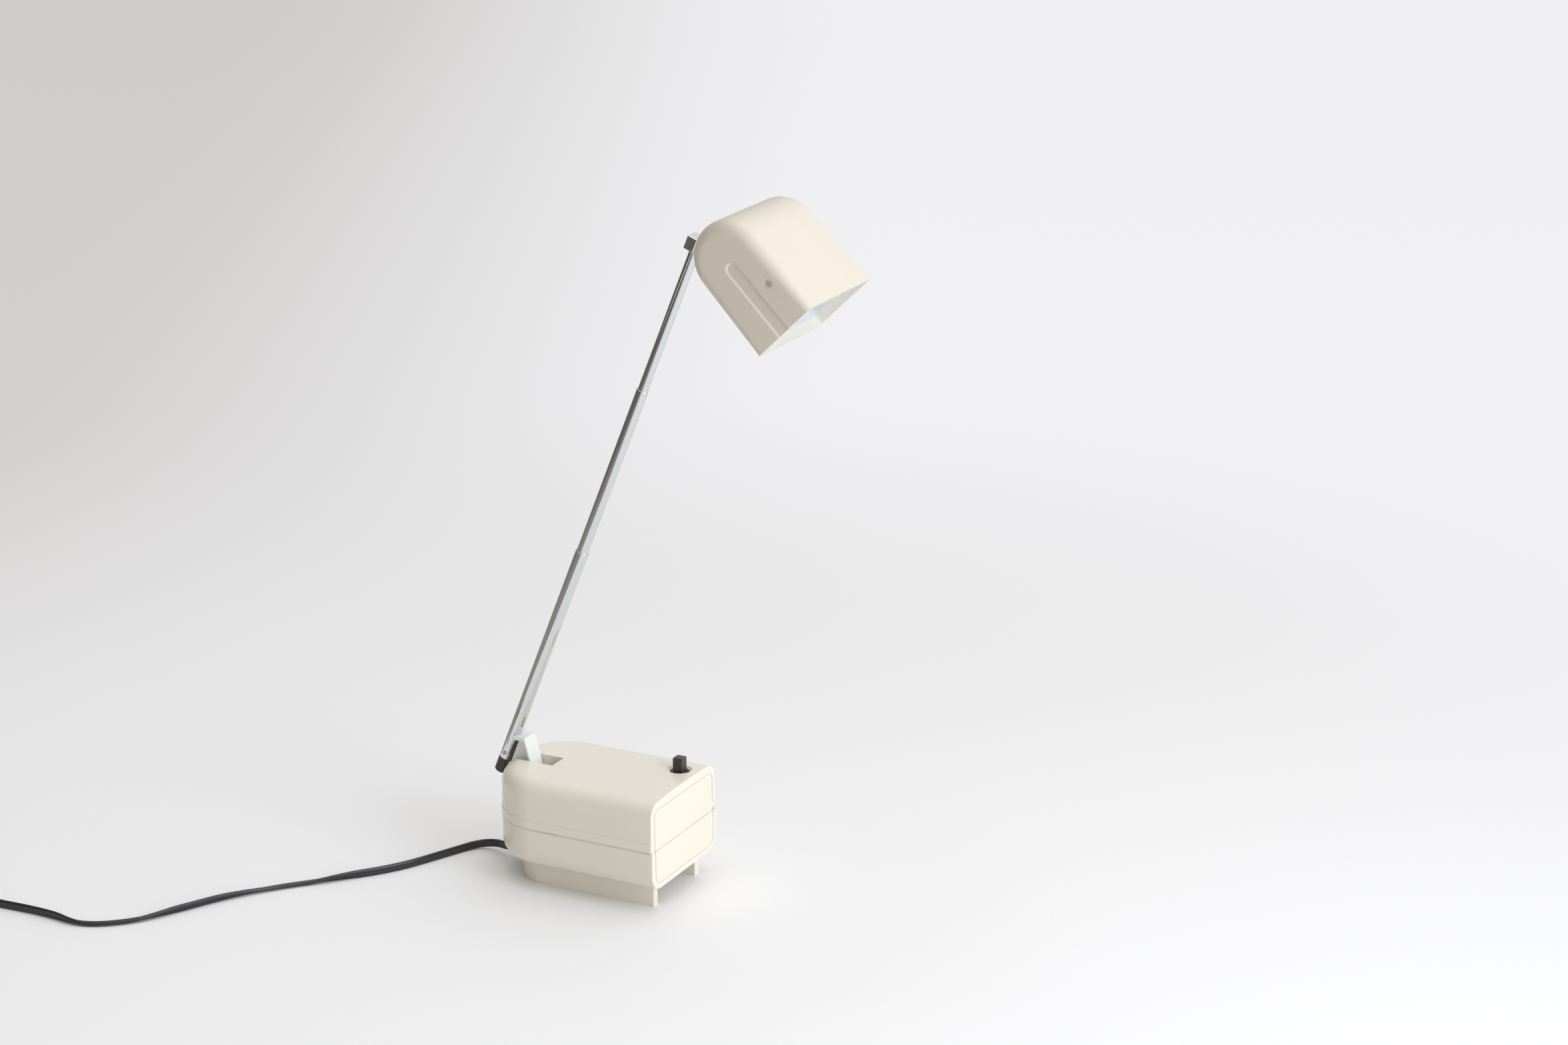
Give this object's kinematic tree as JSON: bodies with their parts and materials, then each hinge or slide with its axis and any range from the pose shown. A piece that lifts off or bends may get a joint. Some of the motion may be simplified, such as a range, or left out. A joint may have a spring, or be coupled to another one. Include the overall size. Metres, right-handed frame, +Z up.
{
  "type": "telescopic table lamp",
  "caption": "Folding table lamp: cream transformer case, bracket on a pivot, telescopic chrome tube arm and an arched cream shade that tilts and shuts against the case.",
  "frame": {"origin": "on the table straight below the fold pivot, in the middle plane of the case", "axes": "+X to the front of the case, where the shade reaches out; +Y to the case's left side; +Z up"},
  "size_m": [0.5146, 0.325, 0.4128],
  "materials": {
    "cream_plastic": "glossy cream moulding",
    "white_plastic": "glossy white moulding",
    "black_plastic": "satin black moulding",
    "dark_moulding": "dark electrical moulding",
    "chrome_plate": "bright chrome plate",
    "steel": "zinc-plated steel",
    "laminations": "varnished steel laminations",
    "copper_wire": "varnished copper wire",
    "contact_brass": "plain brass",
    "white_enamel": "white enamelled sheet",
    "bulb_glass": "clear glass",
    "flex": "black flexible sheath"
  },
  "bodies": {
    "base": {"upper_shell": "cream_plastic", "lower_shell": "cream_plastic", "case_screws": "steel", "transformer_core": "laminations", "transformer_bobbin": "dark_moulding", "transformer_winding": "copper_wire", "core_clamp": "steel", "clamp_screws": "steel", "terminal_block": "white_plastic", "cord_grip": "dark_moulding", "grip_screws": "steel", "cord_bush": "flex", "switch_body": "dark_moulding", "switch_screws": "steel", "switch_tabs": "contact_brass", "lever_axle": "steel", "pivot_pin": "steel", "pivot_washers": "steel", "cord": "flex", "cord_coil": "flex", "coil_tie": "black_plastic", "plug_body": "flex", "plug_pins": "steel"},
    "lever": {"switch_lever": "black_plastic"},
    "arm": {"bracket": "white_plastic", "lower_tube": "chrome_plate", "end_cap": "black_plastic", "cap_rivet": "chrome_plate"},
    "middle": {"middle_tube": "chrome_plate", "middle_sleeve": "contact_brass"},
    "upper": {"upper_tube": "chrome_plate", "upper_sleeve": "contact_brass", "head_arm": "chrome_plate"},
    "head": {"shade": "cream_plastic", "reflector": "white_enamel", "hinge_pin": "steel", "hinge_washers": "steel", "lamp_holder": "dark_moulding", "holder_screw": "steel", "lamp_contact": "contact_brass", "bulb_cap": "contact_brass", "bulb_glass": "bulb_glass"}
  },
  "joints": [
    {"name": "arm_fold", "type": "hinge", "parent": "base", "child": "arm", "pos_m": [0, -0.004, 0.062], "axis": [0, 1, 0], "range_deg": [-15, 68]},
    {"name": "middle_slide", "type": "slide", "parent": "arm", "child": "middle", "axis": [-0.3746, 0, -0.9272], "range_m": [0, 0.105]},
    {"name": "upper_slide", "type": "slide", "parent": "middle", "child": "upper", "axis": [-0.3746, 0, -0.9272], "range_m": [0, 0.0857]},
    {"name": "head_tilt", "type": "hinge", "parent": "upper", "child": "head", "pos_m": [0.13288, -0.004, 0.38181], "axis": [0, 1, 0], "range_deg": [-15, 66.5]},
    {"name": "switch_rock", "type": "hinge", "parent": "base", "child": "lever", "pos_m": [0.0875, 0.0184, 0.0624], "axis": [0, 1, 0], "range_deg": [-12, 12]}
  ]
}
